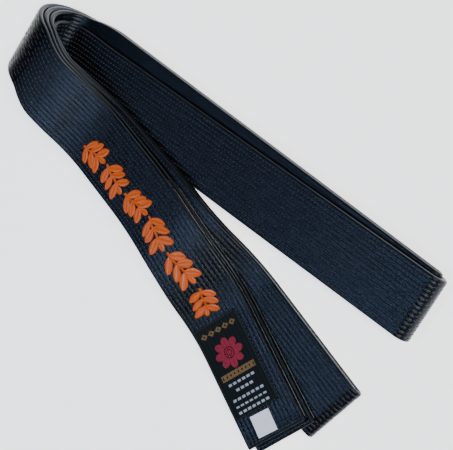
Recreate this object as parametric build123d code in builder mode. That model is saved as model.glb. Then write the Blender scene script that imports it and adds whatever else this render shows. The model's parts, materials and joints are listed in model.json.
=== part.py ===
"""Martial arts belt: a quilted satin strap, folded into four plies and then once more into a V.

The V opens towards +X and turns round at -X. The lower arm lies flat on +Y's side, and the upper arm
crosses over it and comes down to the table on -Y's side. Millimetres, +Z up, the table at Z = 0.
"""

from build123d import *
import os

# The belt itself
BELT_WIDTH = 45.0
BELT_THICKNESS = 4.0
COVER_SKIN = 0.6
HEM_ALLOWANCE = 2.5

# The stack of four plies, counted outwards from the inside of the V
PLY_GAP = 0.4
PLY_PITCH = BELT_THICKNESS + PLY_GAP
PLIES_IN_STACK = 4
INNER_PLY, MIDDLE_PLY, PLAIN_PLY, LABEL_PLY = range(PLIES_IN_STACK)
STACK_HEIGHT = PLIES_IN_STACK * PLY_PITCH - PLY_GAP

# The curve between the two arms: X along the V, height above the table
TURN_RADIUS = 9.0
INSIDE_HEIGHT = STACK_HEIGHT + PLY_GAP / 2
TURN_X = TURN_RADIUS + STACK_HEIGHT + PLY_GAP / 2
LOWER_SPLIT_X = 55.0
UPPER_SPLIT_X = 50.0
ROOT_END_X = 86.0
REST_START_X = 102.0
REST_END_X = 172.0
TABLE_START_X = 250.0
LOWER_END_X = 328.0
UPPER_END_X = 330.0
TIP_X = 316.0
PLAIN_TIP_X = 320.5

# Sideways course of the plies on the table, from the turn outwards
COURSE_BEND_RADIUS = 300.0
LOWER_TOP_COURSE = [(45, 10), (LOWER_END_X, 44.8)]
LOWER_MIDDLE_COURSE = [(45, 21.5), (LOWER_END_X - 1, 47.2)]
LOWER_BOTTOM_COURSE = [(45, 21), (240, 34), (LOWER_END_X, 44.8)]
UPPER_FOLDED_COURSE = [(45, -8.5), (160, -17.5), (UPPER_END_X, -43.7)]
LABEL_COURSE = [(45, -9.5), (172, -25), (TIP_X, -76.3)]
PLAIN_COURSE = [(45, -9), (174, -24.2), (PLAIN_TIP_X, -74.8)]
# How far the turn sways sideways between the two arms
TURN_SWAY = 4.0

# Stitching, label and embroidery
ROW_PITCH = 3.0
ROW_PAIRS = 7
THREAD_WIDTH = 0.6
THREAD_HEIGHT = 0.12
HEM_ROW_SETBACKS = (2.0, 5.0)
HEM_STITCH = 2.2
HEM_STITCH_PITCH = 3.2
LABEL_WIDTH = 34.5
LABEL_LENGTH = 67.0
LABEL_SETBACK = 19.2
LABEL_SHIFT = -4.0
LABEL_THICKNESS = 0.5
LABEL_BORDER = 1.0
MOTIF_HEIGHT = 0.15
ROSETTE_ALONG = -7.5
ROSETTE_HEART = 4.0
PETAL_COUNT = 8
PETAL_LENGTH = 10.0
PETAL_WIDTH = 4.6
GOLD_BAND_ALONG = 6.0
GOLD_BAND_SIZE = (3.6, 27.0)
DIAMOND_ROW_ALONG = -25.5
DIAMOND_COUNT = 5
DIAMOND_PITCH = 5.6
DIAMOND_SIZE = 3.4
DASH_ROWS = ((11.5, 6), (16.0, 4), (21.5, 7), (26.0, 7), (30.0, 7))
DASH_PITCH = 3.6
DASH_SIZE = (1.1, 2.4)
STICKER_SIZE = 14.5
STICKER_SETBACK = 3.0
STICKER_SHIFT = -4.0
STICKER_THICKNESS = 0.2
SPRIG_COUNT = 6
SPRIG_SETBACK = 104.0
SPRIG_PITCH = 24.1
SPRIG_SHIFT = -2.3
SPRIG_SHIFT_STEP = -1.0
SPRIG_HEIGHT = 0.9
LEAF_LENGTH = 11.0
LEAF_WIDTH = 4.2
LEAF_FEET = (-7.0, -1.0, 5.0)
LEAF_SPREAD = 55.0
STEM_LENGTH = 18.0
STEM_WIDTH = 1.6
SPRIG_LEAN = 12.0

# The part's frame has its origin at the middle of the underside of its bounding box
FRAME_SHIFT = (-169.641, 13.753, 0)

# Outlines are drawn on the ground, a little under the table, and cut through the whole height
GROUND = Plane.XY.offset(-PLY_PITCH)
REACH = 130.0
HEADROOM = 80.0
TURN_STEPS = 12

os.makedirs("parts", exist_ok=True)


def save(builder, name):
    """Label a finished piece, set it in the part's frame and write it."""
    piece = builder.part.moved(Location(FRAME_SHIFT))
    piece.label = name
    export_step(piece, f"parts/{name}.step")


# ---------------------------------------------------------------- the curve inside the V


def s_bend(start, end):
    """Two equal arcs, level at both ends, which step down from one height to another."""
    middle = ((start[0] + end[0]) / 2, (start[1] + end[1]) / 2)
    first = TangentArc([start, middle], tangent=(1, 0))
    second = TangentArc([middle, end], tangent=first % 1)
    return [first, second]


TURN_TOP = INSIDE_HEIGHT + 2 * TURN_RADIUS
FALL = s_bend((TURN_X, TURN_TOP), (REST_START_X, INSIDE_HEIGHT))
DROP = s_bend((REST_END_X, INSIDE_HEIGHT), (TABLE_START_X, -PLY_GAP / 2))

LOWER_CURVE = [Line((LOWER_END_X + 5, INSIDE_HEIGHT), (LOWER_SPLIT_X, INSIDE_HEIGHT))]
TURN_CURVE = [
    Line((LOWER_SPLIT_X, INSIDE_HEIGHT), (TURN_X, INSIDE_HEIGHT)),
    ThreePointArc(
        (TURN_X, INSIDE_HEIGHT),
        (TURN_X - TURN_RADIUS, INSIDE_HEIGHT + TURN_RADIUS),
        (TURN_X, TURN_TOP),
    ),
    FALL[0],
]
UPPER_CURVE = [
    *FALL,
    Line((REST_START_X, INSIDE_HEIGHT), (REST_END_X, INSIDE_HEIGHT)),
    *DROP,
    Line((TABLE_START_X, -PLY_GAP / 2), (UPPER_END_X + 25, -PLY_GAP / 2)),
]


def length_at(edge, x):
    """Distance along an edge at which it passes a given X."""
    low, high = 0.0, edge.length
    forwards = edge.position_at(0).X < edge.position_at(1).X
    for _ in range(40):
        middle = (low + high) / 2
        here = edge.position_at(middle, position_mode=PositionMode.LENGTH).X
        if (here < x) == forwards:
            low = middle
        else:
            high = middle
    return low


def beside(edge, distance, outwards):
    """The point beside an edge, on the side away from the inside of the V."""
    at = edge.position_at(distance, position_mode=PositionMode.LENGTH)
    along = edge.tangent_at(distance, position_mode=PositionMode.LENGTH)
    return (at.X - along.Y * outwards, at.Y + along.X * outwards)


def ply_faces(ply, inset=0.0):
    """How far a ply's two faces are from the curve inside the V."""
    inner = PLY_GAP / 2 + ply * PLY_PITCH
    return inner + inset, inner + BELT_THICKNESS - inset


def stretches(curve, start_x, end_x):
    """The edges of a curve between two places, each with the distances where the stretch is on it."""
    found = []
    for edge in curve:
        first_x, last_x = edge.position_at(0).X, edge.position_at(1).X
        low_x, high_x = min(first_x, last_x), max(first_x, last_x)
        from_x = min(max(start_x, low_x), high_x)
        to_x = min(max(end_x, low_x), high_x)
        if abs(to_x - from_x) > 0.01:
            found.append((edge, length_at(edge, from_x), length_at(edge, to_x)))
    return found


def offset_run(parts, outwards):
    """Draw a stretch of a curve, moved outwards: lines stay lines, and arcs stay arcs."""
    for edge, first, last in parts:
        start, middle, end = [beside(edge, d, outwards) for d in (first, (first + last) / 2, last)]
        if edge.geom_type == GeomType.LINE:
            Line(start, end)
        else:
            ThreePointArc(start, middle, end)


def band(curve, start_x, end_x, inner, outer):
    """Side view of a stretch of one ply, as a face in the sketch in hand."""
    parts = stretches(curve, start_x, end_x)
    first_edge, first, _ = parts[0]
    last_edge, _, last = parts[-1]
    with BuildLine() as outline:
        offset_run(parts, inner)
        offset_run(parts, outer)
        Line(beside(first_edge, first, inner), beside(first_edge, first, outer))
        Line(beside(last_edge, last, inner), beside(last_edge, last, outer))
    make_face(outline.edges())


# ---------------------------------------------------------------- straps, turns and folds


def side_view(curve, start_x, end_x, inner, outer):
    """Extrude the side view of a stretch across the whole width of the V."""
    with BuildSketch(Plane.XZ) as side:
        band(curve, start_x, end_x, inner, outer)
    extrude(side.sketch, amount=REACH, both=True)


def keep_strip(path, width):
    """Keep only what lies over a strip of a given width along a path on the table."""
    with BuildSketch(GROUND) as strip:
        trace(lines=path, line_width=width)
    extrude(strip.sketch, amount=HEADROOM, mode=Mode.INTERSECT)


def strap(name, curve, start_x, end_x, ply, path, hem=0.0):
    """A stretch of one ply: its cotton core and the satin cover round it."""
    with BuildPart() as core:
        side_view(curve, start_x, end_x, *ply_faces(ply, COVER_SKIN))
        keep_strip(path.trim(0, 1 - hem / path.length), BELT_WIDTH - 2 * COVER_SKIN)
    with BuildPart() as cover:
        side_view(curve, start_x, end_x, *ply_faces(ply))
        keep_strip(path, BELT_WIDTH)
        add(core.part, mode=Mode.SUBTRACT)
    save(core, f"{name}_core")
    save(cover, f"{name}_cover")


def turn_stations():
    """Edges and distances of the cuts round the turn, and how far round each of them is."""
    lead_in, turn, fall = TURN_CURVE
    runs = [
        (lead_in, lead_in.length, 2),
        (turn, turn.length, TURN_STEPS),
        (fall, length_at(fall, UPPER_SPLIT_X), 3),
    ]
    whole = sum(run_length for _, run_length, _ in runs)
    cuts = [(lead_in, 0.0, 0.0)]
    passed = 0.0
    for edge, run_length, steps in runs:
        for step in range(1, steps + 1):
            distance = run_length * step / steps
            cuts.append((edge, distance, (passed + distance) / whole))
        passed += run_length
    return cuts


def turn_loft(ply, lower_y, upper_y, inset):
    """Loft one ply round the turn of the V, sliding sideways from the lower arm to the upper."""
    inner, outer = ply_faces(ply, inset)
    sections = []
    for edge, distance, done in turn_stations():
        along = edge.tangent_at(distance, position_mode=PositionMode.LENGTH)
        x, z = beside(edge, distance, (inner + outer) / 2)
        y = lower_y + (upper_y - lower_y) * done * done * (3 - 2 * done)
        y += TURN_SWAY * (4 * done * (1 - done)) ** 2
        cut = Plane(origin=(x, y, z), x_dir=(0, 1, 0), z_dir=(along.X, 0, along.Y))
        with BuildSketch(cut) as section:
            Rectangle(BELT_WIDTH - 2 * inset, outer - inner)
        sections.append(section.sketch.face())
    loft(sections, ruled=True)


def course_y(course, x):
    """Sideways place of the first run of a course at a given X."""
    (x0, y0), (x1, y1) = course[:2]
    return y0 + (y1 - y0) * (x - x0) / (x1 - x0)


def turn_ply(name, ply, lower_course, upper_course):
    """One ply of the turn of the V, core and cover."""
    lower_y = course_y(lower_course, LOWER_SPLIT_X)
    upper_y = course_y(upper_course, UPPER_SPLIT_X)
    with BuildPart() as core:
        turn_loft(ply, lower_y, upper_y, COVER_SKIN)
    with BuildPart() as cover:
        turn_loft(ply, lower_y, upper_y, 0)
        add(core.part, mode=Mode.SUBTRACT)
    save(core, f"{name}_core")
    save(cover, f"{name}_cover")


def half_ring(path, middle_height, inner_radius, outer_radius, width):
    """A half ring across the end of a path, which joins two plies."""
    heading = path.tangent_at(1)
    end = path.position_at(1)
    across = Plane(
        origin=(end.X, end.Y, middle_height),
        x_dir=(heading.X, heading.Y, 0),
        z_dir=(heading.Y, -heading.X, 0),
    )
    with BuildSketch(across) as ring:
        Circle(outer_radius)
        Circle(inner_radius, mode=Mode.SUBTRACT)
        Rectangle(
            outer_radius,
            2 * outer_radius,
            align=(Align.MAX, Align.CENTER),
            mode=Mode.SUBTRACT,
        )
    extrude(ring.sketch, amount=width / 2, both=True)


def end_fold(name, path, middle_height, inner_radius):
    """The fold at the far end of an arm, core and cover."""
    outer_radius = inner_radius + BELT_THICKNESS
    with BuildPart() as core:
        half_ring(
            path,
            middle_height,
            inner_radius + COVER_SKIN,
            outer_radius - COVER_SKIN,
            BELT_WIDTH - 2 * COVER_SKIN,
        )
    with BuildPart() as cover:
        half_ring(path, middle_height, inner_radius, outer_radius, BELT_WIDTH)
        add(core.part, mode=Mode.SUBTRACT)
    save(core, f"{name}_core")
    save(cover, f"{name}_cover")


def stitch_rows(name, curve, start_x, end_x, surface, whole_path, clear=0.0):
    """Lengthwise rows of quilting thread on one face of a ply, stopping clear of the hem."""
    path = whole_path.trim(0, 1 - clear / whole_path.length)
    with BuildPart() as rows:
        side_view(curve, start_x, end_x, surface, surface + THREAD_HEIGHT)
        with BuildSketch(GROUND):
            for pair in reversed(range(ROW_PAIRS)):
                spread = ROW_PITCH * (2 * pair + 1)
                trace(lines=path, line_width=spread + THREAD_WIDTH)
                trace(lines=path, line_width=spread - THREAD_WIDTH, mode=Mode.SUBTRACT)
        extrude(amount=HEADROOM, mode=Mode.INTERSECT)
    save(rows, name)


def on_path(path, setback, shift=0.0):
    """The place on a path at a distance back from its tip, turned with the path."""
    distance = path.length - setback
    at = path.position_at(distance, position_mode=PositionMode.LENGTH)
    along = path.tangent_at(distance, position_mode=PositionMode.LENGTH)
    heading = along.get_signed_angle(Vector(1, 0, 0), Vector(0, 0, -1))
    return Location((at.X - along.Y * shift, at.Y + along.X * shift, 0), heading)


def path_of(course):
    """A course as straight runs joined by one large arc."""
    if len(course) == 2:
        return Wire([Line(*course)])
    return Wire(FilletPolyline(*course, radius=COURSE_BEND_RADIUS).edges())


LOWER_TOP_PATH = path_of(LOWER_TOP_COURSE)
LOWER_MIDDLE_PATH = path_of(LOWER_MIDDLE_COURSE)
UPPER_FOLDED_PATH = path_of(UPPER_FOLDED_COURSE)
LABEL_PATH = path_of(LABEL_COURSE)
PLAIN_PATH = path_of(PLAIN_COURSE)

# ---------------------------------------------------------------- the folded strap

WHOLE_PLIES = (
    ("inner_ply", INNER_PLY, LOWER_TOP_COURSE, UPPER_FOLDED_COURSE),
    ("middle_ply", MIDDLE_PLY, LOWER_MIDDLE_COURSE, UPPER_FOLDED_COURSE),
    ("plain_ply", PLAIN_PLY, LOWER_MIDDLE_COURSE, PLAIN_COURSE),
    ("label_ply", LABEL_PLY, LOWER_BOTTOM_COURSE, LABEL_COURSE),
)
FOLDED_PLIES = (("inner_ply", INNER_PLY), ("middle_ply", MIDDLE_PLY))
LOOSE_ENDS = (("plain_end", PLAIN_PLY, PLAIN_PATH), ("label_end", LABEL_PLY, LABEL_PATH))
# The side views run past the end of each path, which then cuts them square to the strap
OVERRUN = 20.0
FOLD_OVERRUN = 4.0

for name, ply, lower_course, upper_course in WHOLE_PLIES:
    lower_path = path_of(lower_course)
    strap(f"lower_arm_{name}", LOWER_CURVE, LOWER_END_X + FOLD_OVERRUN, LOWER_SPLIT_X, ply, lower_path)
    turn_ply(f"turn_{name}", ply, lower_course, upper_course)

for name, ply in FOLDED_PLIES:
    strap(f"upper_arm_{name}", UPPER_CURVE, UPPER_SPLIT_X, UPPER_END_X + OVERRUN, ply, UPPER_FOLDED_PATH)

for name, ply, path in LOOSE_ENDS:
    strap(f"{name}_root", UPPER_CURVE, UPPER_SPLIT_X, ROOT_END_X, ply, path)
    strap(name, UPPER_CURVE, ROOT_END_X, UPPER_END_X + OVERRUN, ply, path, HEM_ALLOWANCE)

end_fold("lower_outer_fold", LOWER_TOP_PATH, STACK_HEIGHT / 2, BELT_THICKNESS + 1.5 * PLY_GAP)
end_fold("lower_inner_fold", LOWER_MIDDLE_PATH, STACK_HEIGHT / 2, PLY_GAP / 2)
end_fold("upper_fold", UPPER_FOLDED_PATH, BELT_THICKNESS + PLY_GAP / 2, PLY_GAP / 2)

# ---------------------------------------------------------------- stitching

LABEL_FACE = ply_faces(LABEL_PLY)[1]
PLAIN_FACE = ply_faces(PLAIN_PLY)[1]
MIDDLE_FACE = ply_faces(MIDDLE_PLY)[1]
INNER_FACE = ply_faces(INNER_PLY)[0] - THREAD_HEIGHT

stitch_rows(
    "label_end_stitch_rows",
    UPPER_CURVE,
    ROOT_END_X,
    UPPER_END_X,
    LABEL_FACE,
    LABEL_PATH,
    clear=HEM_ROW_SETBACKS[-1] + THREAD_WIDTH,
)
stitch_rows("upper_arm_stitch_rows", UPPER_CURVE, ROOT_END_X, UPPER_END_X, MIDDLE_FACE, UPPER_FOLDED_PATH)
stitch_rows("lower_arm_stitch_rows", LOWER_CURVE, LOWER_END_X, LOWER_SPLIT_X, INNER_FACE, LOWER_TOP_PATH)


def hem_stitches(name, surface, path):
    """Two rows of stitches across a tip, which close the hem."""
    count = int((BELT_WIDTH - 2 * HEM_STITCH) / HEM_STITCH_PITCH)
    with BuildPart() as hem:
        side_view(UPPER_CURVE, TABLE_START_X, UPPER_END_X, surface, surface + 2 * THREAD_HEIGHT)
        with BuildSketch(GROUND):
            for setback in HEM_ROW_SETBACKS:
                with Locations(on_path(path, setback)):
                    with GridLocations(1, HEM_STITCH_PITCH, 1, count):
                        Rectangle(THREAD_WIDTH, HEM_STITCH)
        extrude(amount=HEADROOM, mode=Mode.INTERSECT)
    save(hem, name)


hem_stitches("label_end_hem_stitches", LABEL_FACE, LABEL_PATH)
hem_stitches("plain_end_hem_stitches", PLAIN_FACE, PLAIN_PATH)

# ---------------------------------------------------------------- woven label and sticker

SEWN_FACE = LABEL_FACE + THREAD_HEIGHT
LABEL_TOP = SEWN_FACE + LABEL_THICKNESS
LABEL_PLACE = on_path(LABEL_PATH, LABEL_SETBACK + LABEL_LENGTH / 2, LABEL_SHIFT)
STICKER_PLACE = on_path(LABEL_PATH, STICKER_SETBACK + STICKER_SIZE / 2, STICKER_SHIFT)


def sewn_on(name, bottom, thickness, outline):
    """A thin piece with a given outline, lying on the label end."""
    with BuildPart() as piece:
        side_view(UPPER_CURVE, ROOT_END_X, UPPER_END_X, bottom, bottom + thickness)
        extrude(outline.sketch, amount=HEADROOM, mode=Mode.INTERSECT)
    save(piece, name)


def on_label(along, across=0.0):
    """A place on the label, measured from its middle: along is towards the belt's tip."""
    return LABEL_PLACE * Location((along, across, 0))


with BuildSketch(GROUND) as label_outline:
    with Locations(LABEL_PLACE):
        Rectangle(LABEL_LENGTH, LABEL_WIDTH)
sewn_on("woven_label", SEWN_FACE, LABEL_THICKNESS, label_outline)

with BuildSketch(GROUND) as border_outline:
    with Locations(LABEL_PLACE):
        Rectangle(LABEL_LENGTH - LABEL_BORDER, LABEL_WIDTH - LABEL_BORDER)
        Rectangle(LABEL_LENGTH - 2 * LABEL_BORDER, LABEL_WIDTH - 2 * LABEL_BORDER, mode=Mode.SUBTRACT)
sewn_on("label_border_stitching", LABEL_TOP, THREAD_HEIGHT, border_outline)

with BuildSketch(GROUND) as rosette_outline:
    with Locations(on_label(ROSETTE_ALONG)):
        Circle(ROSETTE_HEART)
        with PolarLocations(PETAL_LENGTH / 2, PETAL_COUNT):
            Ellipse(PETAL_LENGTH / 2, PETAL_WIDTH / 2)
sewn_on("label_rosette", LABEL_TOP, MOTIF_HEIGHT, rosette_outline)

with BuildSketch(GROUND) as band_outline:
    with Locations(on_label(GOLD_BAND_ALONG)):
        Rectangle(*GOLD_BAND_SIZE)
sewn_on("label_gold_band", LABEL_TOP, MOTIF_HEIGHT, band_outline)

with BuildSketch(GROUND) as diamond_outline:
    with Locations(on_label(DIAMOND_ROW_ALONG)):
        with GridLocations(1, DIAMOND_PITCH, 1, DIAMOND_COUNT):
            Rectangle(DIAMOND_SIZE, DIAMOND_SIZE, rotation=45)
sewn_on("label_diamond_row", LABEL_TOP, MOTIF_HEIGHT, diamond_outline)

with BuildSketch(GROUND) as dash_outline:
    for along, dash_count in DASH_ROWS:
        with Locations(on_label(along)):
            with GridLocations(1, DASH_PITCH, 1, dash_count):
                Rectangle(*DASH_SIZE)
sewn_on("label_dash_rows", LABEL_TOP, MOTIF_HEIGHT, dash_outline)

with BuildSketch(GROUND) as sticker_outline:
    with Locations(STICKER_PLACE):
        RectangleRounded(STICKER_SIZE, STICKER_SIZE, 1.0)
sewn_on("paper_sticker", SEWN_FACE + THREAD_HEIGHT, STICKER_THICKNESS, sticker_outline)

# ---------------------------------------------------------------- embroidered leaf sprigs


def leaf(place, turn):
    """One pointed leaf, from its foot outwards."""
    with Locations(place * Location((0, 0, 0), turn)):
        with Locations((LEAF_LENGTH / 2, 0)):
            Ellipse(LEAF_LENGTH / 2, LEAF_WIDTH / 2)


for number in range(SPRIG_COUNT):
    lean = SPRIG_LEAN if number % 2 else -SPRIG_LEAN
    shift = SPRIG_SHIFT + number * SPRIG_SHIFT_STEP
    centre = on_path(LABEL_PATH, SPRIG_SETBACK + number * SPRIG_PITCH, shift)
    leaning = centre * Location((0, 0, 0), lean)
    with BuildSketch(GROUND) as sprig_outline:
        with Locations(leaning):
            Rectangle(STEM_LENGTH, STEM_WIDTH)
        for along in LEAF_FEET:
            for side in (-1, 1):
                leaf(leaning * Location((along, 0, 0)), side * LEAF_SPREAD)
    sewn_on(f"leaf_sprig_{number + 1}", SEWN_FACE, SPRIG_HEIGHT, sprig_outline)
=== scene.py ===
"""Folded martial arts belt: quilted black satin, embroidered sprigs and a woven label."""

import json
import math
import random

import bpy
import numpy as np
from mathutils import Matrix, Vector


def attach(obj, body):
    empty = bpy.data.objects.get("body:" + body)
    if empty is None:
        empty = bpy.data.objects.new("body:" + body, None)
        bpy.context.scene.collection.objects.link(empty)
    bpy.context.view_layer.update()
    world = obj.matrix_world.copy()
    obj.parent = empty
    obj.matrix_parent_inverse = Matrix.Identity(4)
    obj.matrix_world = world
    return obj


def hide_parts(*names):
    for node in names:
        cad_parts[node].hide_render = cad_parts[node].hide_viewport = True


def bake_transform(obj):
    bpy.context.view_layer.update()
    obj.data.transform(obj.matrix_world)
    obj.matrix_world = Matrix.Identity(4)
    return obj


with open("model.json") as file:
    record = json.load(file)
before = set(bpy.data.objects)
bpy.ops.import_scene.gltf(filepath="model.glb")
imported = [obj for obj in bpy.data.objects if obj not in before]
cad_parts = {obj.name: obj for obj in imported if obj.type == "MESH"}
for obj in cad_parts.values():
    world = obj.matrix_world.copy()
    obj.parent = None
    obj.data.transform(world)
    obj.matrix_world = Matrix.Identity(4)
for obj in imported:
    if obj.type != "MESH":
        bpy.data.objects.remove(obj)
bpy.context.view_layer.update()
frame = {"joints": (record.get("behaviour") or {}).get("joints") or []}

# ------------------------------------------------------------------ sizes, in millimetres

MM = 0.001
BELT_WIDTH = 45.0
BELT_THICKNESS = 4.0
HALF_WIDTH = BELT_WIDTH / 2
HALF_THICKNESS = BELT_THICKNESS / 2
PLY_GAP = 0.4
PLY_PITCH = BELT_THICKNESS + PLY_GAP
INNER_PLY, MIDDLE_PLY, PLAIN_PLY, LABEL_PLY = range(4)
STACK_HEIGHT = 4 * PLY_PITCH - PLY_GAP

TURN_RADIUS = 9.0
INSIDE_HEIGHT = STACK_HEIGHT + PLY_GAP / 2
TURN_X = TURN_RADIUS + STACK_HEIGHT + PLY_GAP / 2
LOWER_SPLIT_X = 55.0
SEAM_X = 42.0
ROOT_START_X = 52.0
ROOT_END_X = 86.0
REST_START_X = 102.0
REST_END_X = 172.0
TABLE_START_X = 250.0
LOWER_END_X = 328.0
UPPER_END_X = 330.0
TIP_X = 316.0
PLAIN_TIP_X = 320.5

LOWER_TOP_COURSE = [(45, 10), (LOWER_END_X, 44.8)]
LOWER_MIDDLE_COURSE = [(45, 21.5), (LOWER_END_X - 1, 47.2)]
LOWER_BOTTOM_COURSE = [(45, 21), (240, 34), (LOWER_END_X, 44.8)]
UPPER_FOLDED_COURSE = [(45, -8.5), (160, -17.5), (UPPER_END_X, -43.7)]
LABEL_COURSE = [(45, -9.5), (172, -25), (TIP_X, -76.3)]
PLAIN_COURSE = [(45, -9), (174, -24.2), (PLAIN_TIP_X, -74.8)]
COURSE_BEND_RADIUS = 300.0

# The turn sways to the side between the two arms, is pulled a little in, and leans
TURN_SWAY = 4.0
TURN_PULL = 2.3
TURN_LEAN = 0.105

# Sideways move which centres the folded belt's box on the frame
BELT_SIDE_SHIFT = 13.753

# From the belt's own millimetres to the frame: the hinge of the fold is the turn's centre
FOLD_HINGE = Vector(next(j for j in frame["joints"] if j["name"] == "fold_open")["pos_m"])
SHIFT = FOLD_HINGE / MM - Vector((TURN_X, 0.0, INSIDE_HEIGHT + TURN_RADIUS))
SHIFT.y = BELT_SIDE_SHIFT

ROW_PITCH = 3.0
ROWS = [ROW_PITCH * (number + 0.5) for number in range(-7, 7)]
GROOVE_DEPTH = 0.24
GROOVE_WIDTH = 0.5
EDGE_ROUNDING = 1.4
STITCH_PITCH = 2.7
STITCH_LENGTH = 2.2
STITCH_RADIUS = 0.27
# A stitch is full from this share of its length before its middle to the same share after it
STITCH_SHOULDER = 0.28
RING_STEP = 2.4
FINE_RING_STEP = 1.2

# The curve runs on past the lower arm's end, where the plies are cut at an angle
LEAD = 10.0

# ------------------------------------------------------------------ the curve inside the V


def s_bend(run, fall):
    """Length and curvature of each half of a level-ended step down, made of two equal arcs."""
    radius = (run * run + fall * fall) / (4 * fall)
    angle = 2 * math.atan(fall / run)
    return radius * angle, 1 / radius


def inside_segments():
    """Lengths and curvatures along the inside of the V, from the lower arm's end to the upper's."""
    fall_length, fall_bend = s_bend(REST_START_X - TURN_X, 2 * TURN_RADIUS)
    drop_length, drop_bend = s_bend(TABLE_START_X - REST_END_X, INSIDE_HEIGHT + PLY_GAP / 2)
    return [
        (LOWER_END_X + LEAD - TURN_X, 0.0),
        (math.pi * TURN_RADIUS, -1 / TURN_RADIUS),
        (fall_length, -fall_bend),
        (fall_length, fall_bend),
        (REST_END_X - REST_START_X, 0.0),
        (drop_length, -drop_bend),
        (drop_length, drop_bend),
        (UPPER_END_X - TABLE_START_X + 30, 0.0),
    ]


class InsideCurve:
    """The inside of the V as a table of place and heading against length, from the lower arm's end."""

    STEP = 0.25
    SOFTENING = 2.0

    def __init__(self):
        segments = inside_segments()
        total = sum(length for length, _ in segments)
        count = int(total / self.STEP) + 1
        self.length = np.arange(count) * self.STEP - LEAD
        bend = np.zeros(count)
        start = -LEAD
        for length, curvature in segments:
            bend[(self.length >= start) & (self.length < start + length)] = curvature
            start += length
        window = int(self.SOFTENING / self.STEP)
        kernel = np.ones(2 * window + 1) / (2 * window + 1)
        bend = np.convolve(bend, kernel, mode="same")
        self.heading = math.pi + np.concatenate([[0], np.cumsum(bend[:-1]) * self.STEP])
        middle = self.heading + bend * self.STEP / 2
        self.x = LOWER_END_X + LEAD + np.concatenate([[0], np.cumsum(np.cos(middle[:-1])) * self.STEP])
        self.z = INSIDE_HEIGHT + np.concatenate([[0], np.cumsum(np.sin(middle[:-1])) * self.STEP])
        self.turn_top = segments[0][0] + segments[1][0] - LEAD

    def offset(self, outwards):
        """Places beside the curve, on the outer side, against length."""
        return self.x - np.sin(self.heading) * outwards, self.z + np.cos(self.heading) * outwards

    def upper_length_at(self, x):
        """Length at which the curve passes X on its way along the upper arm."""
        upper = self.length > self.turn_top
        return float(np.interp(x, self.x[upper], self.length[upper]))


INSIDE = InsideCurve()


def course_at(course, x):
    """Sideways place and slope of a course at X; its one bend is a parabola like a large arc."""
    (x0, y0), (x1, y1) = course[0], course[1]
    slope = (y1 - y0) / (x1 - x0)
    y = y0 + slope * (x - x0)
    if len(course) == 2:
        return y, slope + 0 * x
    x2, y2 = course[2]
    change = (y2 - y1) / (x2 - x1) - slope
    reach = COURSE_BEND_RADIUS * abs(change) / 2
    past = np.clip((x - x1 + reach) / (2 * reach), 0, None)
    ramp = np.where(past < 1, reach * past * past, x - x1)
    return y + change * ramp, slope + change * np.clip(past, 0, 1)


class Ply:
    """One ply of the belt: gives the place of any point of it from length, side and depth."""

    def __init__(self, number, lower_course, upper_course):
        self.middle = PLY_GAP / 2 + BELT_THICKNESS / 2 + number * PLY_PITCH
        self.lower_course = lower_course
        self.upper_course = upper_course
        self.x, self.z = INSIDE.offset(self.middle)
        self.lower_start = LOWER_END_X - lower_course[-1][0]
        self.lower_split = LOWER_END_X - LOWER_SPLIT_X
        self.upper_split = INSIDE.upper_length_at(SEAM_X + 6)

    def centre(self, length):
        """X, sideways place, ring slope of the middle of the ply."""
        x = np.interp(length, INSIDE.length, self.x)
        lower_y, lower_slope = course_at(self.lower_course, x)
        upper_y, upper_slope = course_at(self.upper_course, x)
        y0, m0 = course_at(self.lower_course, LOWER_SPLIT_X)
        y1, m1 = course_at(self.upper_course, np.interp(self.upper_split, INSIDE.length, self.x))
        span = self.upper_split - self.lower_split
        t = np.clip((length - self.lower_split) / span, 0, 1)
        hermite = (
            y0 * (1 + 2 * t) * (1 - t) ** 2
            - m0 * span * t * (1 - t) ** 2
            + y1 * t * t * (3 - 2 * t)
            + m1 * span * t * t * (t - 1)
        )
        hermite = hermite + TURN_SWAY * (4 * t * (1 - t)) ** 2
        y = np.where(length <= self.lower_split, lower_y, hermite)
        y = np.where(length >= self.upper_split, upper_y, y)
        lower_ease = np.clip((self.lower_split - length) / 60, 0, 1)
        upper_ease = np.clip((length - self.upper_split) / 60, 0, 1)
        slope = lower_slope * lower_ease + upper_slope * upper_ease
        return x, y, slope

    def place(self, length, side, depth):
        """Points of the ply: depth is measured outwards from its middle surface."""
        length, side, depth = np.broadcast_arrays(length, side, depth)
        x, y, slope = self.centre(length)
        angle = np.arctan(slope)
        moved_x = -side * np.sin(angle)
        heading = np.interp(length, INSIDE.length, INSIDE.heading)
        along = length + moved_x / np.where(np.abs(np.cos(heading)) > 0.5, np.cos(heading), 1.0)
        for _ in range(3):
            error = x + moved_x - np.interp(along, INSIDE.length, self.x)
            heading = np.interp(along, INSIDE.length, INSIDE.heading)
            flat = np.abs(np.cos(heading)) > 0.5
            along = np.where(flat, along + error / np.where(flat, np.cos(heading), 1.0), along)
        along = np.where(slope == 0, length, along)
        heading = np.interp(along, INSIDE.length, INSIDE.heading)
        turning = np.clip((length - self.lower_split) / (self.upper_split - self.lower_split), 0, 1)
        swing = (4 * turning * (1 - turning)) ** 2
        px = np.interp(along, INSIDE.length, self.x) - np.sin(heading) * depth
        px = px + (TURN_PULL - TURN_LEAN * side) * swing
        pz = np.interp(along, INSIDE.length, self.z) + np.cos(heading) * depth
        py = y + side * np.cos(angle)
        return np.stack([px, py, pz], axis=-1)


PLIES = [
    Ply(INNER_PLY, LOWER_TOP_COURSE, UPPER_FOLDED_COURSE),
    Ply(MIDDLE_PLY, LOWER_MIDDLE_COURSE, UPPER_FOLDED_COURSE),
    Ply(PLAIN_PLY, LOWER_MIDDLE_COURSE, PLAIN_COURSE),
    Ply(LABEL_PLY, LOWER_BOTTOM_COURSE, LABEL_COURSE),
]


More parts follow.
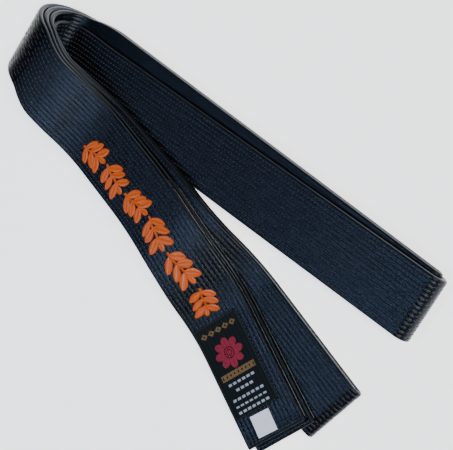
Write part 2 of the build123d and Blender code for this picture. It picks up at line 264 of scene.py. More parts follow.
class EndFold:
    """A half ring at the end of an arm; length runs round it from the top ply to the bottom ply."""

    def __init__(self, course, middle_height, radius):
        end_x = course[-1][0]
        y, slope = course_at(course, float(end_x))
        angle = math.atan(slope)
        self.end = np.array([end_x, float(y), middle_height])
        self.ahead = np.array([math.cos(angle), math.sin(angle), 0.0])
        self.across = np.array([-math.sin(angle), math.cos(angle), 0.0])
        self.up = np.array([0.0, 0.0, 1.0])
        self.radius = radius
        self.length = math.pi * radius

    def place(self, length, side, depth):
        length, side, depth = np.broadcast_arrays(length, side, depth)
        turn = math.pi / 2 - length / self.radius
        reach = self.radius + depth
        return (
            self.end
            + side[..., None] * self.across
            + (reach * np.cos(turn))[..., None] * self.ahead
            + (reach * np.sin(turn))[..., None] * self.up
        )


OUTER_FOLD = EndFold(LOWER_TOP_COURSE, STACK_HEIGHT / 2, BELT_THICKNESS * 1.5 + 1.5 * PLY_GAP)
INNER_FOLD = EndFold(LOWER_MIDDLE_COURSE, STACK_HEIGHT / 2, HALF_THICKNESS + PLY_GAP / 2)
UPPER_FOLD = EndFold(UPPER_FOLDED_COURSE, BELT_THICKNESS + PLY_GAP / 2, HALF_THICKNESS + PLY_GAP / 2)

# ------------------------------------------------------------------ meshes


def to_frame(points):
    """Millimetres of the belt to metres of the frame."""
    return (np.asarray(points).reshape(-1, 3) + np.array(SHIFT)) * MM


def new_piece(name, points, faces, materials, uv=None, face_slots=None, smooth_angle=50.0):
    """A mesh object from points in millimetres."""
    mesh = bpy.data.meshes.new(name)
    mesh.from_pydata(to_frame(points).tolist(), [], faces)
    for material in materials:
        mesh.materials.append(material)
    mesh.polygons.foreach_set("use_smooth", [True] * len(mesh.polygons))
    if face_slots is not None:
        mesh.polygons.foreach_set("material_index", face_slots)
    if uv is not None:
        layer = mesh.uv_layers.new(name="length_and_side")
        loops = np.zeros(len(mesh.loops), dtype=np.int32)
        mesh.loops.foreach_get("vertex_index", loops)
        layer.data.foreach_set("uv", (np.asarray(uv).reshape(-1, 2)[loops] * MM).ravel())
    mesh.update()
    mesh.validate()
    mesh.set_sharp_from_angle(angle=math.radians(smooth_angle))
    piece = bpy.data.objects.new(name, mesh)
    bpy.context.scene.collection.objects.link(piece)
    return piece


def section_sides():
    """Places across the belt where its section has points: dense at each row of stitches."""
    sides = []
    for row in ROWS:
        sides += [row - 0.6, row, row + 0.6]
    sides += [row + ROW_PITCH / 2 for row in ROWS[:-1]]
    for edge in (21.2, 21.7, 22.1, 22.4, HALF_WIDTH):
        sides += [edge, -edge]
    return np.array(sorted(set(sides)))


SIDES = section_sides()


def half_depth(side):
    """Half the belt's thickness across its width: channels between rows and rounded edges."""
    to_row = np.min(np.abs(side[..., None] - np.array(ROWS)), axis=-1)
    groove = GROOVE_DEPTH * np.exp(-((to_row / GROOVE_WIDTH) ** 2))
    edge = np.clip((np.abs(side) - (HALF_WIDTH - EDGE_ROUNDING)) / EDGE_ROUNDING, 0, 1)
    return (HALF_THICKNESS - groove) * np.sqrt(np.clip(1 - edge * edge, 0.0, 1))


def ripple(length, side, seed):
    """Small unevenness of hand, in millimetres, the same each run."""
    source = random.Random(seed)
    total = 0.0
    for _ in range(5):
        along = 2 * math.pi / source.uniform(14, 60)
        across = 2 * math.pi / source.uniform(9, 40)
        total = total + np.sin(along * length + source.uniform(0, 6)) * np.sin(
            across * side + source.uniform(0, 6)
        )
    return 0.045 * total


def stations(start, end, hems=()):
    """Lengths at which a strap has a ring of points, closer together in bends and at hems."""
    places = [start]
    while places[-1] < end:
        here = places[-1]
        heading, following = np.interp([here, here + 1], INSIDE.length, INSIDE.heading)
        bend = abs(following - heading)
        places.append(here + (FINE_RING_STEP if bend > 0.02 else RING_STEP))
    places[-1] = end
    for hem in hems:
        places += [hem - 0.8, hem, hem + 0.8]
    return np.array(sorted(set(places)))


def strap_mesh(name, source, lengths, material, seed, hems=(), tip=None):
    """A quilted strap along a ply or a fold, closed at both ends."""
    sides = SIDES
    depth = half_depth(sides)
    count = len(sides)
    upper_length, upper_side = np.meshgrid(lengths, sides, indexing="ij")
    thick = np.broadcast_to(depth, upper_length.shape).copy()
    for hem in hems:
        thick -= 0.28 * np.exp(-(((upper_length - hem) / 0.5) ** 2)) * (np.abs(upper_side) < 21)
    if tip is not None:
        fade = np.clip((tip - upper_length) / 1.2, 0, 1)
        thick *= np.sqrt(np.clip(1 - (1 - fade) ** 2 * 0.55, 0, 1))
    wave = ripple(upper_length, upper_side, seed) * (np.abs(upper_side) < 21.5)
    top = source.place(upper_length, upper_side, thick + wave * 0.6)
    bottom = source.place(upper_length, upper_side, -thick + wave * 0.3)
    rings = len(lengths)
    points = np.concatenate([top, bottom[:, ::-1]], axis=1)
    around = 2 * count
    faces = []
    for ring in range(rings - 1):
        base, after = ring * around, (ring + 1) * around
        for step in range(around):
            following = (step + 1) % around
            faces.append((base + step, after + step, after + following, base + following))
    for ring, flip in ((0, False), (rings - 1, True)):
        base = ring * around
        for step in range(count - 1):
            cap = (base + step, base + step + 1, base + around - 2 - step, base + around - 1 - step)
            faces.append(cap[::-1] if flip else cap)
    uv_top = np.stack([upper_length, upper_side], axis=-1)
    uv = np.concatenate([uv_top, uv_top[:, ::-1] + np.array([0, 60.0])], axis=1)
    return new_piece(name, points, faces, [material], uv)


def stitches_mesh(name, source, start, end, face, material, seed):
    """Thread stitches lying in the grooves of one face; face is 1 outside and -1 inside."""
    source_random = random.Random(seed)
    ring = [(math.cos(a), math.sin(a)) for a in (math.radians(72 * k + 18) for k in range(5))]
    lengths, sides, depths, faces = [], [], [], []
    count = int((end - start) / STITCH_PITCH)
    for row in ROWS:
        phase = source_random.uniform(0, STITCH_PITCH)
        for number in range(count):
            middle = start + phase + number * STITCH_PITCH
            if middle + STITCH_LENGTH / 2 > end:
                break
            base = len(lengths)
            sway = source_random.uniform(-0.09, 0.09)
            seat = face * (HALF_THICKNESS - GROOVE_DEPTH + STITCH_RADIUS * 0.55)
            for offset in (-STITCH_SHOULDER, STITCH_SHOULDER):
                for across, up in ring:
                    lengths.append(middle + offset * STITCH_LENGTH)
                    sides.append(row + sway * offset * 4 + across * STITCH_RADIUS * 1.15)
                    depths.append(seat + up * STITCH_RADIUS)
            for end_sign in (-1, 1):
                lengths.append(middle + end_sign * STITCH_LENGTH / 2)
                sides.append(row + sway * end_sign)
                depths.append(seat - face * STITCH_RADIUS * 0.9)
            for step in range(5):
                following = (step + 1) % 5
                quad = (base + step, base + following, base + 5 + following, base + 5 + step)
                first = (base + 10, base + following, base + step)
                last = (base + 11, base + 5 + step, base + 5 + following)
                faces += [quad, first, last]
    points = source.place(np.array(lengths), np.array(sides), np.array(depths))
    uv = np.stack([np.array(lengths), np.array(sides)], axis=-1)
    return new_piece(name, points, faces, [material], uv, smooth_angle=180.0)


class Chain:
    """Several runs of strap joined end to end, each with its own way of placing points."""

    def __init__(self, *runs):
        self.runs = runs
        self.starts = np.concatenate([[0], np.cumsum([abs(last - first) for _, first, last, _ in runs])])
        self.length = self.starts[-1]

    def place(self, length, side, depth):
        length, side, depth = np.broadcast_arrays(length, side, depth)
        points = np.zeros(length.shape + (3,))
        for number, (source, first, last, outwards) in enumerate(self.runs):
            begin, end = self.starts[number], self.starts[number + 1]
            inside = (length >= begin) & (length <= end)
            along = first + (length[inside] - begin) * (1 if last > first else -1)
            points[inside] = source.place(along, side[inside], depth[inside] * outwards)
        return points


UPPER_END = INSIDE.upper_length_at(UPPER_END_X)
FOLDED_START = PLIES[MIDDLE_PLY].upper_split
UPPER_FOLDED = Chain(
    (PLIES[MIDDLE_PLY], FOLDED_START, UPPER_END, 1),
    (UPPER_FOLD, 0.0, UPPER_FOLD.length, 1),
    (PLIES[INNER_PLY], UPPER_END, FOLDED_START, -1),
)

# ------------------------------------------------------------------ materials


def set_values(shader, **values):
    """Set constant inputs of a shader by name, with underscores for spaces."""
    for name, value in values.items():
        shader.inputs[name.replace("_", " ")].default_value = value


def new_material(name, color, roughness):
    material = bpy.data.materials.new(name)
    material.use_nodes = True
    shader = material.node_tree.nodes["Principled BSDF"]
    set_values(shader, Base_Color=(*color, 1), Roughness=roughness)
    return material, material.node_tree, shader


def add_node(tree, kind, **values):
    node = tree.nodes.new(kind)
    for name, value in values.items():
        node.inputs[name.replace("_", " ")].default_value = value
    return node


def woven_height(tree, along_mm, across_mm, noise_mm):
    """Height of a weave: threads along and across, with uneven grain stretched along the belt."""
    links = tree.links
    place = tree.nodes.new("ShaderNodeTexCoord")
    grain_map = add_node(tree, "ShaderNodeMapping", Scale=(1 / (3.2 * noise_mm * MM), 1 / (noise_mm * MM), 1))
    links.new(place.outputs["UV"], grain_map.inputs["Vector"])
    grain = add_node(tree, "ShaderNodeTexNoise", Scale=1.0, Detail=3.0, Roughness=0.6)
    links.new(grain_map.outputs["Vector"], grain.inputs["Vector"])
    threads = []
    for direction, pitch in (("X", along_mm), ("Y", across_mm)):
        wave = add_node(tree, "ShaderNodeTexWave", Scale=0.314 / (pitch * MM), Distortion=0.0)
        wave.bands_direction = direction
        links.new(place.outputs["UV"], wave.inputs["Vector"])
        threads.append(wave)
    both = tree.nodes.new("ShaderNodeMath")
    both.operation = "MULTIPLY"
    links.new(threads[0].outputs["Fac"], both.inputs[0])
    links.new(threads[1].outputs["Fac"], both.inputs[1])
    total = tree.nodes.new("ShaderNodeMath")
    total.operation = "ADD"
    links.new(both.outputs[0], total.inputs[0])
    links.new(grain.outputs["Fac"], total.inputs[1])
    return total.outputs[0], grain.outputs["Fac"]


def add_bump(tree, shader, height, strength, distance_mm):
    bump = add_node(tree, "ShaderNodeBump", Strength=strength, Distance=distance_mm * MM)
    tree.links.new(height, bump.inputs["Height"])
    tree.links.new(bump.outputs["Normal"], shader.inputs["Normal"])


def add_tone(tree, shader, factor, dark, light):
    """Vary the base colour between two tones with the grain."""
    ramp = tree.nodes.new("ShaderNodeValToRGB")
    ramp.color_ramp.elements[0].position = 0.35
    ramp.color_ramp.elements[0].color = (*dark, 1)
    ramp.color_ramp.elements[1].position = 0.72
    ramp.color_ramp.elements[1].color = (*light, 1)
    tree.links.new(factor, ramp.inputs["Fac"])
    tree.links.new(ramp.outputs["Color"], shader.inputs["Base Color"])


def satin():
    material, tree, shader = new_material("black_satin", (0.006, 0.008, 0.014), 0.25)
    height, grain = woven_height(tree, 0.42, 0.34, 0.8)
    add_tone(tree, shader, grain, (0.0002, 0.0003, 0.0004), (0.005, 0.006, 0.0085))
    add_bump(tree, shader, height, 0.4, 0.1)
    set_values(shader, Specular_Tint=(0.7, 0.82, 1.0, 1), Specular_IOR_Level=0.3)
    return material


def thread(name, dark, light, roughness, level=0.5):
    material, tree, shader = new_material(name, light, roughness)
    height, grain = woven_height(tree, 0.5, 0.22, 0.3)
    add_tone(tree, shader, grain, dark, light)
    add_bump(tree, shader, height, 0.4, 0.06)
    set_values(shader, Sheen_Weight=0.0, Specular_IOR_Level=level)
    return material


def sticker_paper():
    material, tree, shader = new_material("sticker", (0.86, 0.87, 0.93), 0.45)
    _, grain = woven_height(tree, 2.0, 2.0, 0.8)
    add_tone(tree, shader, grain, (0.8, 0.81, 0.89), (0.9, 0.91, 0.96))
    add_bump(tree, shader, grain, 0.15, 0.04)
    return material


SATIN = satin()
# The black thread's light tone is set far above the satin's. It is partly the thread's own dark grey and
# partly a painted highlight, so the stitch beads show as rows of light dots.
BLACK_THREAD = thread("black_thread", (0.008, 0.010, 0.014), (0.05, 0.06, 0.08), roughness=0.42)
ORANGE_THREAD = thread("embroidery_thread", (0.42, 0.05, 0.002), (0.85, 0.17, 0.008), 0.34)
LABEL_CLOTH = thread("woven_label", (0.001, 0.0022, 0.0018), (0.0045, 0.008, 0.007), 0.5, level=0.12)
LABEL_EDGE = thread("label_thread", (0.01, 0.016, 0.02), (0.035, 0.05, 0.06), roughness=0.5)
RED_THREAD = thread("red_thread", (0.22, 0.001, 0.015), (0.42, 0.004, 0.04), roughness=0.5)
GOLD_THREAD = thread("gold_thread", (0.10, 0.05, 0.006), (0.32, 0.18, 0.035), roughness=0.42)
WHITE_THREAD = thread("white_thread", (0.32, 0.36, 0.46), (0.62, 0.66, 0.76), roughness=0.5)
PAPER = sticker_paper()

# ------------------------------------------------------------------ the folded strap


def finish_piece(piece, nodes=(), body=None, blend=None):
    """Hide the model's parts that a piece replaces, then bake its transform when it has a blend, or else hang
    it under its body.
    """
    if nodes:
        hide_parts(*nodes)
    if blend:
        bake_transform(piece)
    else:
        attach(piece, body)
    return piece


def ply_bounds(ply):
    """Heights between which one ply's turn passes its bend from the lower arm to the upper arm."""
    outer_radius = TURN_RADIUS + ply.middle + HALF_THICKNESS
    inner_radius = outer_radius - BELT_THICKNESS
    low = INSIDE_HEIGHT + TURN_RADIUS - inner_radius
    end = ply.place(np.array([ply.upper_split]), np.array([0.0]), np.array([-HALF_THICKNESS]))[0, 2]
    return low, float(end)


def turn_blend(ply):
    low, high = ply_bounds(ply)
    here = FOLD_HINGE.x
    return ("lower_arm", "upper_arm", (here, 0, low * MM), (here, 0, high * MM))


def lift_blend(body):
    start = (ROOT_START_X + SHIFT.x) * MM
    end = (ROOT_END_X + SHIFT.x) * MM
    return ("upper_arm", body, (start, 0, 0), (end, 0, 0))


PLY_NAMES = ("inner_ply", "middle_ply", "plain_ply", "label_ply")
for number, ply in enumerate(PLIES):
    name = PLY_NAMES[number]
    lengths = stations(ply.lower_start, ply.upper_split)
    strap = strap_mesh(f"strap_lower_{name}", ply, lengths, SATIN, seed=number + 3)
    replaced = [f"lower_arm_{name}_cover", f"turn_{name}_cover", f"turn_{name}_core"]
    finish_piece(strap, replaced, blend=turn_blend(ply))

for name, fold, seed in (("lower_outer_fold", OUTER_FOLD, 11), ("lower_inner_fold", INNER_FOLD, 12)):
    steps = max(8, int(fold.length / 1.0))
    lengths = np.linspace(0.0, fold.length, steps + 1)
    strap = strap_mesh(f"strap_{name}", fold, lengths, SATIN, seed=seed)
    finish_piece(strap, [f"{name}_cover"], body="lower_arm")

folded_lengths = np.concatenate(
    [
        stations(FOLDED_START, UPPER_END)[:-1] - FOLDED_START,
        UPPER_FOLDED.starts[1] + np.linspace(0, UPPER_FOLD.length, 9),
        (UPPER_FOLDED.length - (stations(FOLDED_START, UPPER_END)[:-1] - FOLDED_START))[::-1],
    ]
)
folded_strap = strap_mesh("strap_upper_folded", UPPER_FOLDED, folded_lengths, SATIN, seed=21)
finish_piece(
    folded_strap,
    ["upper_arm_inner_ply_cover", "upper_arm_middle_ply_cover", "upper_fold_cover"],
    body="upper_arm",
)

HEM_ROWS = (2.0, 5.0)
HEM_STITCH_PITCH = 2.6
TIPS = {}
for name, ply, tip_x, seed in (
    ("plain_end", PLIES[PLAIN_PLY], PLAIN_TIP_X, 31),
    ("label_end", PLIES[LABEL_PLY], TIP_X, 32),
):
    tip = INSIDE.upper_length_at(tip_x)
    TIPS[name] = tip
    hems = [tip - setback for setback in HEM_ROWS]
    lengths = stations(ply.upper_split, tip, hems)
    lengths = np.array(sorted(set(lengths.tolist() + [tip - 0.3, tip - 0.7, tip - 1.2])))
    strap = strap_mesh(f"strap_{name}", ply, lengths, SATIN, seed, hems, tip)
    replaced = [f"{name}_cover", f"{name}_root_cover", f"{name}_root_core"]
    finish_piece(strap, replaced, blend=lift_blend(name))

# ------------------------------------------------------------------ stitching

label_ply, plain_ply = PLIES[LABEL_PLY], PLIES[PLAIN_PLY]
inner_ply = PLIES[INNER_PLY]
LOWER_ROWS_END = inner_ply.upper_split

rows_inside = stitches_mesh("stitches_inside", inner_ply, 1.0, LOWER_ROWS_END, -1, BLACK_THREAD, seed=41)
finish_piece(rows_inside, ["lower_arm_stitch_rows"], blend=turn_blend(inner_ply))

rows_turn = stitches_mesh(
    "stitches_turn", label_ply, label_ply.lower_split, label_ply.upper_split, 1, BLACK_THREAD, seed=42
)
finish_piece(rows_turn, blend=turn_blend(label_ply))

rows_outer_fold = stitches_mesh(
    "stitches_lower_fold", OUTER_FOLD, 0.5, OUTER_FOLD.length, 1, BLACK_THREAD, seed=43
)
finish_piece(rows_outer_fold, body="lower_arm")

rows_folded = stitches_mesh(
    "stitches_upper_folded",
    UPPER_FOLDED,
    1.0,
    UPPER_FOLDED.starts[2],
    1,
    BLACK_THREAD,
    seed=44,
)
finish_piece(rows_folded, ["upper_arm_stitch_rows"], body="upper_arm")

label_tip = TIPS["label_end"]
rows_label = stitches_mesh(
    "stitches_label_end",
    label_ply,
    label_ply.upper_split,
    label_tip - HEM_ROWS[-1] - 1,
    1,
    BLACK_THREAD,
    seed=45,
)
finish_piece(rows_label, ["label_end_stitch_rows"], blend=lift_blend("label_end"))


def hem_mesh(name, ply, tip, seed):
    """Rows of stitches across a tip, through the hem."""
    source = random.Random(seed)
    lengths, sides, depths, faces = [], [], [], []
    for setback in HEM_ROWS:
        side = -HALF_WIDTH + 1.5
        while side < HALF_WIDTH - 3.5:
            base = len(lengths)
            skew = source.uniform(-0.12, 0.12)
            for at, radius in ((0.0, 0.05), (0.35, 0.3), (1.75, 0.3), (2.1, 0.05)):
                for corner in range(5):
                    angle = math.radians(72 * corner)
                    lengths.append(tip - setback + skew * at + radius * math.cos(angle))
                    sides.append(side + at)
                    depths.append(HALF_THICKNESS - 0.02 + radius * 0.8 * math.sin(angle))
            for ring in range(3):
                for corner in range(5):
                    after = (corner + 1) % 5
                    first, second = base + ring * 5, base + ring * 5 + 5
                    faces.append((first + corner, first + after, second + after, second + corner))
            side += HEM_STITCH_PITCH
    points = ply.place(np.array(lengths), np.array(sides), np.array(depths))
    uv = np.stack([np.array(lengths), np.array(sides)], axis=-1)
    return new_piece(name, points, faces, [BLACK_THREAD], uv, smooth_angle=180.0)


for name, ply, seed in (("plain_end", plain_ply, 51), ("label_end", label_ply, 52)):
    hem = hem_mesh(f"hem_{name}", ply, TIPS[name], seed)
    finish_piece(hem, [f"{name}_hem_stitches"], blend=lift_blend(name))

# ------------------------------------------------------------------ things sewn on the label end


class Spot:
    """A place on the label end, from which details are laid out: u towards the tip, v to the left."""

    def __init__(self, setback, shift, lean=0.0):
        xs = np.linspace(40, TIP_X, 2000)
        ys, _ = course_at(LABEL_COURSE, xs)
        lengths = np.concatenate([[0], np.cumsum(np.hypot(np.diff(xs), np.diff(ys)))])
        x = float(np.interp(lengths[-1] - setback, lengths, xs))
        _, slope = course_at(LABEL_COURSE, x)
        self.length = INSIDE.upper_length_at(x)
        self.shorten = math.cos(math.atan(float(slope)))
        self.shift = shift
        self.lean = math.radians(lean)

    def place(self, u, v, height):
        """Points on the cloth, raised by a height above its top face."""
        u, v, height = np.broadcast_arrays(u, v, height)
        along = u * math.cos(self.lean) - v * math.sin(self.lean)
        across = u * math.sin(self.lean) + v * math.cos(self.lean)
        return label_ply.place(
            self.length + along * self.shorten, self.shift + across, HALF_THICKNESS + height
        )


class Threads:
    """Gathers many short threads into one mesh."""

    def __init__(self):
        self.points, self.uv, self.faces = [], [], []

    def add(self, spot, path, width, thickness):
        """One flattened thread along a path of (u, v, height)."""
        path = np.array(path, float)
        ahead = np.gradient(path[:, :2], axis=0)
        ahead /= np.linalg.norm(ahead, axis=1)[:, None] + 1e-9
        left = np.stack([-ahead[:, 1], ahead[:, 0]], axis=-1) * width / 2
        rows = [
            (path[:, 0] - left[:, 0], path[:, 1] - left[:, 1], path[:, 2] - thickness),
            (path[:, 0] - left[:, 0] * 0.6, path[:, 1] - left[:, 1] * 0.6, path[:, 2]),
            (path[:, 0] + left[:, 0] * 0.6, path[:, 1] + left[:, 1] * 0.6, path[:, 2]),
            (path[:, 0] + left[:, 0], path[:, 1] + left[:, 1], path[:, 2] - thickness),
        ]
        base = sum(len(block) for block in self.points)
        count = len(path)
        run = np.concatenate([[0], np.cumsum(np.linalg.norm(np.diff(path[:, :2], axis=0), axis=1))])
        for number, (u, v, height) in enumerate(rows):
            self.points.append(spot.place(u, v, height))
            self.uv.append(np.stack([run + base * 0.37, np.full(count, number * 0.2 + base * 0.11)], axis=-1))
        for row in range(4):
            following = (row + 1) % 4
            for step in range(count - 1):
                first, second = base + row * count + step, base + following * count + step
                self.faces.append((first, second, second + 1, first + 1))
        for step, flip in ((0, False), (count - 1, True)):
            cap = tuple(base + row * count + step for row in range(4))
            self.faces.append(cap if flip else cap[::-1])

    def piece(self, name, material):
        points, uv = np.concatenate(self.points), np.concatenate(self.uv)
        return new_piece(name, points, self.faces, [material], uv, smooth_angle=60.0)


LEAF_LENGTH = 11.5
LEAF_WIDTH = 5.0
THREAD_PITCH = 0.4


def leaf_threads(threads, spot, foot, turn, length, width, source):
    """One leaf in satin stitch: two halves of slanting threads which meet at the midrib."""
    turn = math.radians(turn)
    forwards = np.array([math.cos(turn), math.sin(turn)])
    left = np.array([-forwards[1], forwards[0]])
    count = int(length / THREAD_PITCH)
    for side in (-1, 1):
        for number in range(count):
            t = (number + 0.5) / count
            reach = width / 2 * math.sin(math.pi * t ** 0.8) ** 0.75 + 0.15
            reach += source.uniform(-0.12, 0.12)
            slant = reach * 0.55
            inner = np.array(foot) + forwards * t * length
            outer = inner + left * side * reach + forwards * slant
            path = []
            for s in (0.0, 0.25, 0.6, 0.9, 1.0):
                place = inner + (outer - inner) * s
                height = 0.22 + 0.62 * math.sin(math.pi * (0.12 + 0.84 * s)) ** 0.7
                path.append((place[0], place[1], height + source.uniform(-0.03, 0.03)))
            threads.add(spot, path, 0.46, 0.3)


def stem_threads(threads, spot, start, end, width, source):
    """The stem: short threads across it, one beside the next."""
    count = int((end - start) / THREAD_PITCH)
    for number in range(count):
        u = start + (end - start) * (number + 0.5) / count
        half = width / 2 + source.uniform(-0.06, 0.06)
        sway = 0.35 * math.sin(u * 0.5)
        path = [(u - 0.25, sway - half, 0.3), (u, sway, 0.95), (u + 0.25, sway + half, 0.3)]
        threads.add(spot, path, 0.46, 0.3)


SPRIG_SETBACK = 104.0
SPRIG_PITCH = 24.1
SPRIG_SHIFT = -2.3
SPRIG_SHIFT_STEP = -1.0
LEAF_FEET = (-7.0, -1.0, 5.0)

for number in range(6):
    source = random.Random(60 + number)
    lean = 12.0 if number % 2 else -12.0
    spot = Spot(SPRIG_SETBACK + number * SPRIG_PITCH, SPRIG_SHIFT + number * SPRIG_SHIFT_STEP, lean)
    threads = Threads()
    for foot in LEAF_FEET:
        for side in (-1, 1):
            leaf_threads(
                threads,
                spot,
                (foot + source.uniform(-0.4, 0.4), 0.0),
                side * (55 + source.uniform(-7, 7)),
                LEAF_LENGTH * source.uniform(0.9, 1.02),
                LEAF_WIDTH * source.uniform(0.9, 1.1),
                source,
            )
    leaf_threads(threads, spot, (7.0, 0.0), source.uniform(-8, 8), 6.5, 3.6, source)
    stem_threads(threads, spot, -9.5, 8.5, 1.8, source)
    sprig = threads.piece(f"embroidery_{number + 1}", ORANGE_THREAD)
    finish_piece(sprig, [f"leaf_sprig_{number + 1}"], blend=lift_blend("label_end"))

# ------------------------------------------------------------------ woven label

LABEL_WIDTH = 34.5
LABEL_LENGTH = 67.0
LABEL_SETBACK = 19.2
LABEL_SHIFT = -4.0
LABEL_LIFT = 0.12
LABEL_THICKNESS = 0.45
PATCH_STEP = 0.75
LABEL_SPOT = Spot(LABEL_SETBACK + LABEL_LENGTH / 2, LABEL_SHIFT)


def label_surface(u, v):
    """Height of the label's top above the belt: it dips a little over each row of stitches."""
    to_row = np.min(np.abs((v + LABEL_SHIFT)[..., None] - np.array(ROWS)), axis=-1)
    dip = 0.16 * np.exp(-((to_row / 0.7) ** 2))
    edge = np.minimum(LABEL_LENGTH / 2 - np.abs(u), LABEL_WIDTH / 2 - np.abs(v))
    return LABEL_LIFT + LABEL_THICKNESS - dip - 0.2 * np.clip(1 - edge / 0.6, 0, 1)


def patch_mesh(name, spot, half_length, half_width, surface, bottom, material):
    """A thin sheet with four sides lying on the cloth, closed underneath."""
    us = np.linspace(-half_length, half_length, int(2 * half_length / PATCH_STEP) + 1)
    vs = np.linspace(-half_width, half_width, int(2 * half_width / PATCH_STEP) + 1)
    u, v = np.meshgrid(us, vs, indexing="ij")
    top = spot.place(u, v, surface(u, v))
    base = spot.place(u, v, np.full_like(u, bottom))
    rows, columns = u.shape
    count = rows * columns
    faces = []
    for i in range(rows - 1):
        for j in range(columns - 1):
            a = i * columns + j
            faces.append((a, a + columns, a + columns + 1, a + 1))
            faces.append((count + a, count + a + 1, count + a + columns + 1, count + a + columns))
    rim = [(i, 0) for i in range(rows)] + [(rows - 1, j) for j in range(1, columns)]
    rim += [(i, columns - 1) for i in range(rows - 2, -1, -1)] + [(0, j) for j in range(columns - 2, 0, -1)]
    rim = [i * columns + j for i, j in rim]
    for here, after in zip(rim, rim[1:] + rim[:1]):
        faces.append((after, here, count + here, count + after))
    uv = np.stack([u, v], axis=-1).reshape(-1, 2)
    points = np.concatenate([top.reshape(-1, 3), base.reshape(-1, 3)])
    return new_piece(name, points, faces, [material], np.concatenate([uv, uv]))


label = patch_mesh(
    "label_cloth", LABEL_SPOT, LABEL_LENGTH / 2, LABEL_WIDTH / 2, label_surface, LABEL_LIFT - 0.3, LABEL_CLOTH
)
finish_piece(label, ["woven_label"], blend=lift_blend("label_end"))

WEFT_PITCH = 0.42


def woven_motif(name, nodes, inside, reach_u, reach_v, centre_u, material):
    """A motif of fine weft threads running across the label wherever inside(u, v) is true."""
    threads = Threads()
    for u in np.arange(-reach_u, reach_u, WEFT_PITCH):
        vs = np.arange(-reach_v, reach_v + 0.1, 0.15)
        filled = [bool(inside(u, v)) for v in vs]
        start = None
        for number, v in enumerate(vs):
            last = number == len(vs) - 1
            if filled[number] and start is None:
                start = v
            if start is not None and (not filled[number] or last):
                if v - start > 0.25:
                    run = np.linspace(start, v, max(3, int((v - start) / 1.0) + 2))
                    place_u = np.full(len(run), centre_u + u)
                    height = label_surface(place_u, run) + 0.11
                    threads.add(LABEL_SPOT, np.stack([place_u, run, height], axis=-1), 0.4, 0.16)
                start = None
    piece = threads.piece(name, material)
    return finish_piece(piece, nodes, blend=lift_blend("label_end"))


def in_rosette(u, v):
    """A round flower of eight petals and a ringed heart."""
    radius, angle = math.hypot(u, v), math.atan2(v, u)
    if radius < 3.2:
        return not 1.7 < radius < 2.2
    return 3.8 < radius < 6.6 + 4.0 * abs(math.cos(4 * angle)) ** 0.8


def in_gold_band(u, v):
    """A solid bar with a row of small lozenge gaps."""
    across = (v + 13.5) % 3.0 - 1.5
    return abs(v) < 13.2 and not abs(u) * 0.75 + abs(across) < 0.75


def in_diamond_row(u, v):
    """Five diamonds, each with an open heart."""
    across = (v + 14.0) % 5.6 - 2.8
    size = abs(u) + abs(across)
    return abs(v) < 14.0 and 0.9 < size < 2.6


DASH_ROWS = ((11.5, 6), (16.0, 4), (21.5, 7), (26.0, 7), (30.0, 7))
DASH_PITCH = 3.6


def in_dash_rows(u, v):
    """Rows of short plain dashes."""
    for row, count in DASH_ROWS:
        half = count * DASH_PITCH / 2
        if abs(u - row) < 0.75 and abs(v) < half:
            return (v + half) % DASH_PITCH < 2.5
    return False


woven_motif("motif_rosette", ["label_rosette"], in_rosette, 11.0, 11.0, -7.5, RED_THREAD)
woven_motif("motif_gold_band", ["label_gold_band"], in_gold_band, 1.9, 13.6, 6.0, GOLD_THREAD)
woven_motif(
    "motif_diamond_row", ["label_diamond_row"], in_diamond_row, 2.7, 14.2, -25.5, GOLD_THREAD
)
woven_motif(
    "motif_dash_rows", ["label_dash_rows"], in_dash_rows, 32.0, 14.0, 0.0, WHITE_THREAD
)

border = Threads()
INSET = 0.75
BORDER_PITCH = 2.1
for end in (-1, 1):
    u = end * (LABEL_LENGTH / 2 - INSET)
    for v in np.arange(-LABEL_WIDTH / 2 + 1, LABEL_WIDTH / 2 - 2, BORDER_PITCH):
        border.add(LABEL_SPOT, [(u, v, 0.5), (u, v + 0.8, 0.66), (u, v + 1.6, 0.5)], 0.42, 0.25)
for side in (-1, 1):
    v = side * (LABEL_WIDTH / 2 - INSET)
    for u in np.arange(-LABEL_LENGTH / 2 + 1, LABEL_LENGTH / 2 - 2, BORDER_PITCH):
        border.add(LABEL_SPOT, [(u, v, 0.5), (u + 0.8, v, 0.66), (u + 1.6, v, 0.5)], 0.42, 0.25)
border_piece = border.piece("label_border", LABEL_EDGE)
finish_piece(border_piece, ["label_border_stitching"], blend=lift_blend("label_end"))

STICKER_SIZE = 14.5
STICKER_SPOT = Spot(3.0 + STICKER_SIZE / 2, -4.0, lean=-2.0)


def sticker_surface(u, v):
    """The sticker lies over the stitches and lifts slightly at one corner."""
    corner = np.clip((u - v) / STICKER_SIZE - 0.55, 0, 1)
    return 0.42 + 1.4 * corner * corner


sticker = patch_mesh(
    "sticker_paper", STICKER_SPOT, STICKER_SIZE / 2, STICKER_SIZE / 2, sticker_surface, 0.26, PAPER
)
finish_piece(sticker, ["paper_sticker"], blend=lift_blend("label_end"))

# ------------------------------------------------------------------ stage, lights and camera

floor_mesh = bpy.data.meshes.new("floor")
FLOOR_REACH = 8.0
FLOOR_HEIGHT = -0.0002
corners = [(x * FLOOR_REACH, y * FLOOR_REACH, FLOOR_HEIGHT) for x, y in ((-1, -1), (1, -1), (1, 1), (-1, 1))]
floor_mesh.from_pydata(corners, [], [(0, 1, 2, 3)])
floor = bpy.data.objects.new("floor", floor_mesh)
bpy.context.scene.collection.objects.link(floor)
floor_material, _, floor_shader = new_material("white_floor", (0.92, 0.92, 0.92), 0.9)
set_values(floor_shader, Specular_IOR_Level=0.0, Emission_Color=(1, 1, 1, 1), Emission_Strength=1.6)
floor_mesh.materials.append(floor_material)

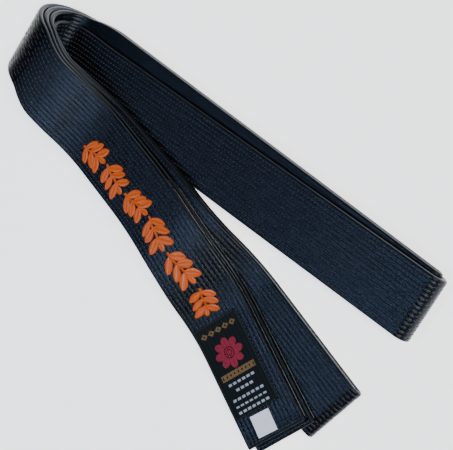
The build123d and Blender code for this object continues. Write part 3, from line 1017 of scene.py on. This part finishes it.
world = bpy.data.worlds.new("soft_room")
world.use_nodes = True
background = world.node_tree.nodes["Background"]
background.inputs["Strength"].default_value = 1.0
sky_place = world.node_tree.nodes.new("ShaderNodeTexCoord")
sky_split = world.node_tree.nodes.new("ShaderNodeSeparateXYZ")
sky_ramp = world.node_tree.nodes.new("ShaderNodeValToRGB")
PALE_HORIZON = (0.62, 0.64, 0.67, 1)
DARK_ABOVE = (0.012, 0.013, 0.015, 1)
sky_ramp.color_ramp.elements[0].position = 0.08
sky_ramp.color_ramp.elements[0].color = PALE_HORIZON
sky_ramp.color_ramp.elements[1].position = 0.3
sky_ramp.color_ramp.elements[1].color = DARK_ABOVE
world.node_tree.links.new(sky_place.outputs["Generated"], sky_split.inputs["Vector"])
world.node_tree.links.new(sky_split.outputs["Z"], sky_ramp.inputs["Fac"])
world.node_tree.links.new(sky_ramp.outputs["Color"], background.inputs["Color"])
bpy.context.scene.world = world


def soft_box(name, place, aim, size, power, color):
    """A rectangular light facing a point."""
    data = bpy.data.lights.new(name, "AREA")
    data.shape = "RECTANGLE"
    data.size, data.size_y = size
    data.energy = power
    data.color = color
    lamp = bpy.data.objects.new(name, data)
    bpy.context.scene.collection.objects.link(lamp)
    lamp.location = place
    direction = Vector(aim) - Vector(place)
    lamp.rotation_mode = "QUATERNION"
    lamp.rotation_quaternion = direction.to_track_quat("-Z", "Y")
    return lamp


# Two small windows above: each is mirrored in the satin near the open end of one arm
WINDOW_BLUE = (0.5, 0.66, 1.0)
soft_box("lower_window", (-0.085, -0.116, 0.734), (0.1, 0.05, 0), (0.08, 0.10), 1.4, WINDOW_BLUE)
soft_box("upper_window", (-0.02, -0.298, 0.734), (0.15, -0.03, 0), (0.07, 0.07), 0.9, WINDOW_BLUE)

sun_data = bpy.data.lights.new("day", "SUN")
sun_data.energy = 3.0
sun_data.angle = math.radians(25)
sun = bpy.data.objects.new("day", sun_data)
bpy.context.scene.collection.objects.link(sun)
sun.rotation_mode = "QUATERNION"
sun.rotation_quaternion = Vector((-0.55, -0.35, -0.9)).to_track_quat("-Z", "Y")

CAMERA_AZIMUTH = math.radians(34.3)
CAMERA_ELEVATION = math.radians(62.0)
CAMERA_DISTANCE = 0.837
CAMERA_ROLL = math.radians(-83.8)
CAMERA_TARGET = Vector((0.00022, 0.02065, 0.012))
SENSOR = 36.0
FOCAL_WIDTHS = 2.8
SIDE_SHIFT = 0.0508
RISE_SHIFT = -0.0872

away = Vector(
    (
        math.cos(CAMERA_ELEVATION) * math.cos(CAMERA_AZIMUTH),
        math.cos(CAMERA_ELEVATION) * math.sin(CAMERA_AZIMUTH),
        math.sin(CAMERA_ELEVATION),
    )
)
level_right = (-away).cross(Vector((0, 0, 1))).normalized()
level_up = level_right.cross(-away)
rolled_right = level_right * math.cos(CAMERA_ROLL) + level_up * math.sin(CAMERA_ROLL)
rolled_up = level_up * math.cos(CAMERA_ROLL) - level_right * math.sin(CAMERA_ROLL)
camera_data = bpy.data.cameras.new("camera")
camera_data.sensor_width = SENSOR
camera_data.lens = SENSOR * FOCAL_WIDTHS
camera_data.shift_x = SIDE_SHIFT
camera_data.shift_y = RISE_SHIFT
camera = bpy.data.objects.new("camera", camera_data)
bpy.context.scene.collection.objects.link(camera)
turned = Matrix((rolled_right, rolled_up, away)).transposed().to_4x4()
camera.matrix_world = Matrix.Translation(CAMERA_TARGET + away * CAMERA_DISTANCE) @ turned
bpy.context.scene.camera = camera

bpy.context.view_layer.update()
